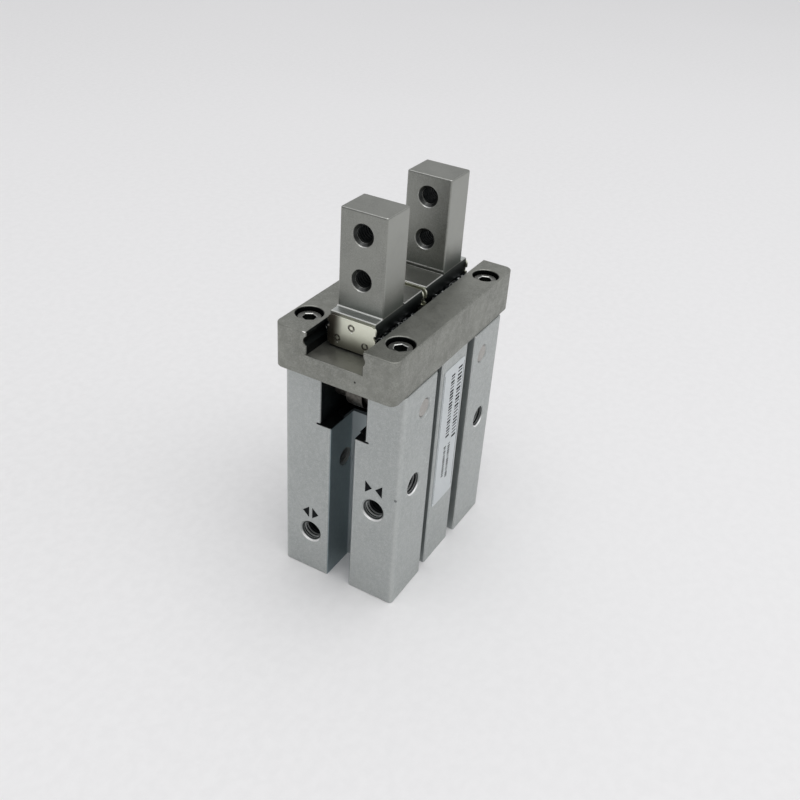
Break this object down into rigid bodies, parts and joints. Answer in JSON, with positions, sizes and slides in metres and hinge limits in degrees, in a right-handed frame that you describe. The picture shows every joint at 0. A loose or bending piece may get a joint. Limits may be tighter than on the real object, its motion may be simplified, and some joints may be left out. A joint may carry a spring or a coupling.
{
  "type": "pneumatic gripper",
  "caption": "Parallel pneumatic gripper: aluminium air cylinder body with end channels, steel ball-guide block and two sliding steel fingers with threaded attachment holes.",
  "frame": {"origin": "centre of the body's bottom face, which the gripper stands on", "axes": "+Z from the base to the fingertips, +X along the fingers' travel away from the end with the air ports, +Y across the body"},
  "size_m": [0.05, 0.0276, 0.0848],
  "materials": {
    "anodised_aluminium": "fine satin, hard anodised",
    "tumbled_steel": "matt tumbled",
    "ground_steel": "fine ground",
    "screw_steel": "dark oxide",
    "shaft_steel": "smooth ground",
    "cap_aluminium": "turned",
    "seal_rubber": "matt",
    "bumper_rubber": "matt",
    "spring_steel": "dark spring steel",
    "holder_brass": "turned",
    "label_foil": "silver foil",
    "stopper_sheet": "bright sheet",
    "ball_steel": "polished",
    "lever_steel": "hardened",
    "magnet_dark": "matt bonded magnet"
  },
  "bodies": {
    "gripper_body": {"body": "anodised_aluminium", "guide": "tumbled_steel", "guide_screws": "screw_steel", "lever_shafts": "shaft_steel", "end_cap": "cap_aluminium", "cap_seal": "seal_rubber", "retaining_ring": "spring_steel", "lower_bumper": "bumper_rubber", "upper_bumper": "bumper_rubber", "rod_seal": "seal_rubber", "rod_seal_holder": "holder_brass", "holder_lock": "spring_steel", "label": "label_foil"},
    "right_finger": {"finger_right": "ground_steel", "finger_right_outer_stopper": "stopper_sheet", "finger_right_inner_stopper": "stopper_sheet"},
    "left_finger": {"finger_left": "ground_steel", "finger_left_outer_stopper": "stopper_sheet", "finger_left_inner_stopper": "stopper_sheet"},
    "right_ball_train": {"balls_right": "ball_steel"},
    "left_ball_train": {"balls_left": "ball_steel"},
    "right_lever": {"lever_right": "lever_steel", "lever_right_pin": "shaft_steel", "lever_right_rollers": "ball_steel"},
    "left_lever": {"lever_left": "lever_steel", "lever_left_pin": "shaft_steel", "lever_left_rollers": "ball_steel"},
    "piston_group": {"piston_rod": "shaft_steel", "piston": "cap_aluminium", "piston_seal": "seal_rubber", "magnet_ring": "magnet_dark", "rod_o_ring": "seal_rubber", "piston_screw": "screw_steel"}
  },
  "joints": [
    {"name": "piston_slide", "type": "slide", "parent": "gripper_body", "child": "piston_group", "axis": [0, 0, 1], "range_m": [0, 0.0035]},
    {"name": "right_finger_slide", "type": "slide", "parent": "gripper_body", "child": "right_finger", "axis": [1, 0, 0], "range_m": [0, 0.005]},
    {"name": "left_finger_slide", "type": "slide", "parent": "gripper_body", "child": "left_finger", "axis": [-1, 0, 0], "range_m": [0, 0.005]},
    {"name": "right_ball_roll", "type": "slide", "parent": "gripper_body", "child": "right_ball_train", "axis": [1, 0, 0], "range_m": [0, 0.0025]},
    {"name": "left_ball_roll", "type": "slide", "parent": "gripper_body", "child": "left_ball_train", "axis": [-1, 0, 0], "range_m": [0, 0.0025]},
    {"name": "right_lever_turn", "type": "hinge", "parent": "gripper_body", "child": "right_lever", "pos_m": [0.0129, 0, 0.0467], "axis": [0, 1, 0], "range_deg": [0, 21.67]},
    {"name": "left_lever_turn", "type": "hinge", "parent": "gripper_body", "child": "left_lever", "pos_m": [-0.0129, 0, 0.0467], "axis": [0, -1, 0], "range_deg": [0, 21.67]}
  ],
  "couplings": [
    {"joint": "right_finger_slide", "follows": "piston_slide", "ratio": 1.43},
    {"joint": "left_finger_slide", "follows": "piston_slide", "ratio": 1.43},
    {"joint": "right_ball_roll", "follows": "piston_slide", "ratio": 0.715},
    {"joint": "left_ball_roll", "follows": "piston_slide", "ratio": 0.715},
    {"joint": "right_lever_turn", "follows": "piston_slide", "rad_per_m": 108.15},
    {"joint": "left_lever_turn", "follows": "piston_slide", "rad_per_m": 108.15}
  ]
}
